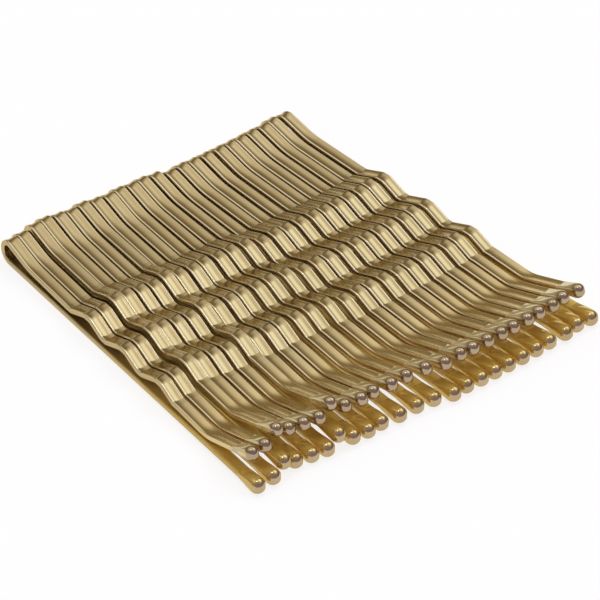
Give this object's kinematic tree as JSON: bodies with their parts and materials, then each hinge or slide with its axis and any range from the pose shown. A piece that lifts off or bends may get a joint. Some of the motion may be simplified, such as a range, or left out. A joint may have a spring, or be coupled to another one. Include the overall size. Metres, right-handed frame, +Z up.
{
  "type": "row of bobby pins",
  "caption": "Row of gold bobby pins lying side by side, each a sprung clip of flat wire with a straight lower leg, a crimped upper leg that opens at the bend, and ball tips.",
  "frame": {"origin": "on the table under the middle of the row, at the centre of the bounding box's bottom", "axes": "+X along the pins from the bends to the ball tips, +Y along the row, +Z up"},
  "size_m": [0.0511, 0.0468, 0.0056],
  "materials": {
    "gold_wire": "satin gold lacquer on flat steel wire",
    "gold_tip": "glossy gold-brown dipped ball"
  },
  "bodies": {
    "row": {"lower_legs": "gold_wire", "spring_bends": "gold_wire", "lower_tips": "gold_tip"},
    "upper_01": {"upper_leg_01": "gold_wire", "upper_tip_01": "gold_tip"},
    "upper_02": {"upper_leg_02": "gold_wire", "upper_tip_02": "gold_tip"},
    "upper_03": {"upper_leg_03": "gold_wire", "upper_tip_03": "gold_tip"},
    "upper_04": {"upper_leg_04": "gold_wire", "upper_tip_04": "gold_tip"},
    "upper_05": {"upper_leg_05": "gold_wire", "upper_tip_05": "gold_tip"},
    "upper_06": {"upper_leg_06": "gold_wire", "upper_tip_06": "gold_tip"},
    "upper_07": {"upper_leg_07": "gold_wire", "upper_tip_07": "gold_tip"},
    "upper_08": {"upper_leg_08": "gold_wire", "upper_tip_08": "gold_tip"},
    "upper_09": {"upper_leg_09": "gold_wire", "upper_tip_09": "gold_tip"},
    "upper_10": {"upper_leg_10": "gold_wire", "upper_tip_10": "gold_tip"},
    "upper_11": {"upper_leg_11": "gold_wire", "upper_tip_11": "gold_tip"},
    "upper_12": {"upper_leg_12": "gold_wire", "upper_tip_12": "gold_tip"},
    "upper_13": {"upper_leg_13": "gold_wire", "upper_tip_13": "gold_tip"},
    "upper_14": {"upper_leg_14": "gold_wire", "upper_tip_14": "gold_tip"},
    "upper_15": {"upper_leg_15": "gold_wire", "upper_tip_15": "gold_tip"},
    "upper_16": {"upper_leg_16": "gold_wire", "upper_tip_16": "gold_tip"},
    "upper_17": {"upper_leg_17": "gold_wire", "upper_tip_17": "gold_tip"},
    "upper_18": {"upper_leg_18": "gold_wire", "upper_tip_18": "gold_tip"},
    "upper_19": {"upper_leg_19": "gold_wire", "upper_tip_19": "gold_tip"},
    "upper_20": {"upper_leg_20": "gold_wire", "upper_tip_20": "gold_tip"},
    "upper_21": {"upper_leg_21": "gold_wire", "upper_tip_21": "gold_tip"},
    "upper_22": {"upper_leg_22": "gold_wire", "upper_tip_22": "gold_tip"},
    "upper_23": {"upper_leg_23": "gold_wire", "upper_tip_23": "gold_tip"},
    "upper_24": {"upper_leg_24": "gold_wire", "upper_tip_24": "gold_tip"}
  },
  "joints": [
    {"name": "open_01", "type": "hinge", "parent": "row", "child": "upper_01", "pos_m": [-0.02311, -0.01907, 0.00152], "axis": [-0.0719, -0.9974, 0], "range_deg": [0, 15], "stiffness_Nm_per_rad": 0.3, "deforming": ["spring_bends"]},
    {"name": "open_02", "type": "hinge", "parent": "row", "child": "upper_02", "pos_m": [-0.02331, -0.01755, 0.00152], "axis": [-0.0596, -0.9982, 0], "range_deg": [0, 15], "stiffness_Nm_per_rad": 0.3, "deforming": ["spring_bends"]},
    {"name": "open_03", "type": "hinge", "parent": "row", "child": "upper_03", "pos_m": [-0.02381, -0.01555, 0.00152], "axis": [-0.0655, -0.9979, 0], "range_deg": [0, 15], "stiffness_Nm_per_rad": 0.3, "deforming": ["spring_bends"]},
    {"name": "open_04", "type": "hinge", "parent": "row", "child": "upper_04", "pos_m": [-0.02401, -0.01403, 0.00152], "axis": [-0.0617, -0.9981, 0], "range_deg": [0, 15], "stiffness_Nm_per_rad": 0.3, "deforming": ["spring_bends"]},
    {"name": "open_05", "type": "hinge", "parent": "row", "child": "upper_05", "pos_m": [-0.02371, -0.01243, 0.00152], "axis": [-0.0562, -0.9984, 0], "range_deg": [0, 15], "stiffness_Nm_per_rad": 0.3, "deforming": ["spring_bends"]},
    {"name": "open_06", "type": "hinge", "parent": "row", "child": "upper_06", "pos_m": [-0.02351, -0.01091, 0.00152], "axis": [-0.049, -0.9988, 0], "range_deg": [0, 15], "stiffness_Nm_per_rad": 0.3, "deforming": ["spring_bends"]},
    {"name": "open_07", "type": "hinge", "parent": "row", "child": "upper_07", "pos_m": [-0.02376, -0.00921, 0.00152], "axis": [-0.0499, -0.9988, 0], "range_deg": [0, 15], "stiffness_Nm_per_rad": 0.3, "deforming": ["spring_bends"]},
    {"name": "open_08", "type": "hinge", "parent": "row", "child": "upper_08", "pos_m": [-0.02346, -0.00765, 0.00152], "axis": [-0.0478, -0.9989, 0], "range_deg": [0, 15], "stiffness_Nm_per_rad": 0.3, "deforming": ["spring_bends"]},
    {"name": "open_09", "type": "hinge", "parent": "row", "child": "upper_09", "pos_m": [-0.02331, -0.00601, 0.00152], "axis": [-0.0431, -0.9991, 0], "range_deg": [0, 15], "stiffness_Nm_per_rad": 0.3, "deforming": ["spring_bends"]},
    {"name": "open_10", "type": "hinge", "parent": "row", "child": "upper_10", "pos_m": [-0.02351, -0.00449, 0.00152], "axis": [-0.0359, -0.9994, 0], "range_deg": [0, 15], "stiffness_Nm_per_rad": 0.3, "deforming": ["spring_bends"]},
    {"name": "open_11", "type": "hinge", "parent": "row", "child": "upper_11", "pos_m": [-0.02336, -0.00289, 0.00152], "axis": [-0.0211, -0.9998, 0], "range_deg": [0, 15], "stiffness_Nm_per_rad": 0.3, "deforming": ["spring_bends"]},
    {"name": "open_12", "type": "hinge", "parent": "row", "child": "upper_12", "pos_m": [-0.02346, -0.00137, 0.00152], "axis": [-0.0034, -1, 0], "range_deg": [0, 15], "stiffness_Nm_per_rad": 0.3, "deforming": ["spring_bends"]},
    {"name": "open_13", "type": "hinge", "parent": "row", "child": "upper_13", "pos_m": [-0.02326, 0.00029, 0.00152], "axis": [0.0068, -1, 0], "range_deg": [0, 15], "stiffness_Nm_per_rad": 0.3, "deforming": ["spring_bends"]},
    {"name": "open_14", "type": "hinge", "parent": "row", "child": "upper_14", "pos_m": [-0.02266, 0.00189, 0.00152], "axis": [0.019, -0.9998, 0], "range_deg": [0, 15], "stiffness_Nm_per_rad": 0.3, "deforming": ["spring_bends"]},
    {"name": "open_15", "type": "hinge", "parent": "row", "child": "upper_15", "pos_m": [-0.02291, 0.00359, 0.00152], "axis": [0.0241, -0.9997, 0], "range_deg": [0, 15], "stiffness_Nm_per_rad": 0.3, "deforming": ["spring_bends"]},
    {"name": "open_16", "type": "hinge", "parent": "row", "child": "upper_16", "pos_m": [-0.02286, 0.00513, 0.00152], "axis": [0.0326, -0.9995, 0], "range_deg": [0, 15], "stiffness_Nm_per_rad": 0.3, "deforming": ["spring_bends"]},
    {"name": "open_17", "type": "hinge", "parent": "row", "child": "upper_17", "pos_m": [-0.02291, 0.00689, 0.00152], "axis": [0.0355, -0.9994, 0], "range_deg": [0, 15], "stiffness_Nm_per_rad": 0.3, "deforming": ["spring_bends"]},
    {"name": "open_18", "type": "hinge", "parent": "row", "child": "upper_18", "pos_m": [-0.02296, 0.00873, 0.00152], "axis": [0.0364, -0.9993, 0], "range_deg": [0, 15], "stiffness_Nm_per_rad": 0.3, "deforming": ["spring_bends"]},
    {"name": "open_19", "type": "hinge", "parent": "row", "child": "upper_19", "pos_m": [-0.02301, 0.01031, 0.00152], "axis": [0.044, -0.999, 0], "range_deg": [0, 15], "stiffness_Nm_per_rad": 0.3, "deforming": ["spring_bends"]},
    {"name": "open_20", "type": "hinge", "parent": "row", "child": "upper_20", "pos_m": [-0.02311, 0.01183, 0.00152], "axis": [0.0545, -0.9985, 0], "range_deg": [0, 15], "stiffness_Nm_per_rad": 0.3, "deforming": ["spring_bends"]},
    {"name": "open_21", "type": "hinge", "parent": "row", "child": "upper_21", "pos_m": [-0.02326, 0.01349, 0.00152], "axis": [0.06, -0.9982, 0], "range_deg": [0, 15], "stiffness_Nm_per_rad": 0.3, "deforming": ["spring_bends"]},
    {"name": "open_22", "type": "hinge", "parent": "row", "child": "upper_22", "pos_m": [-0.02331, 0.01521, 0.00152], "axis": [0.0736, -0.9973, 0], "range_deg": [0, 15], "stiffness_Nm_per_rad": 0.3, "deforming": ["spring_bends"]},
    {"name": "open_23", "type": "hinge", "parent": "row", "child": "upper_23", "pos_m": [-0.02366, 0.01673, 0.00152], "axis": [0.0812, -0.9967, 0], "range_deg": [0, 15], "stiffness_Nm_per_rad": 0.3, "deforming": ["spring_bends"]},
    {"name": "open_24", "type": "hinge", "parent": "row", "child": "upper_24", "pos_m": [-0.02361, 0.01853, 0.00152], "axis": [0.0833, -0.9965, 0], "range_deg": [0, 15], "stiffness_Nm_per_rad": 0.3, "deforming": ["spring_bends"]}
  ]
}
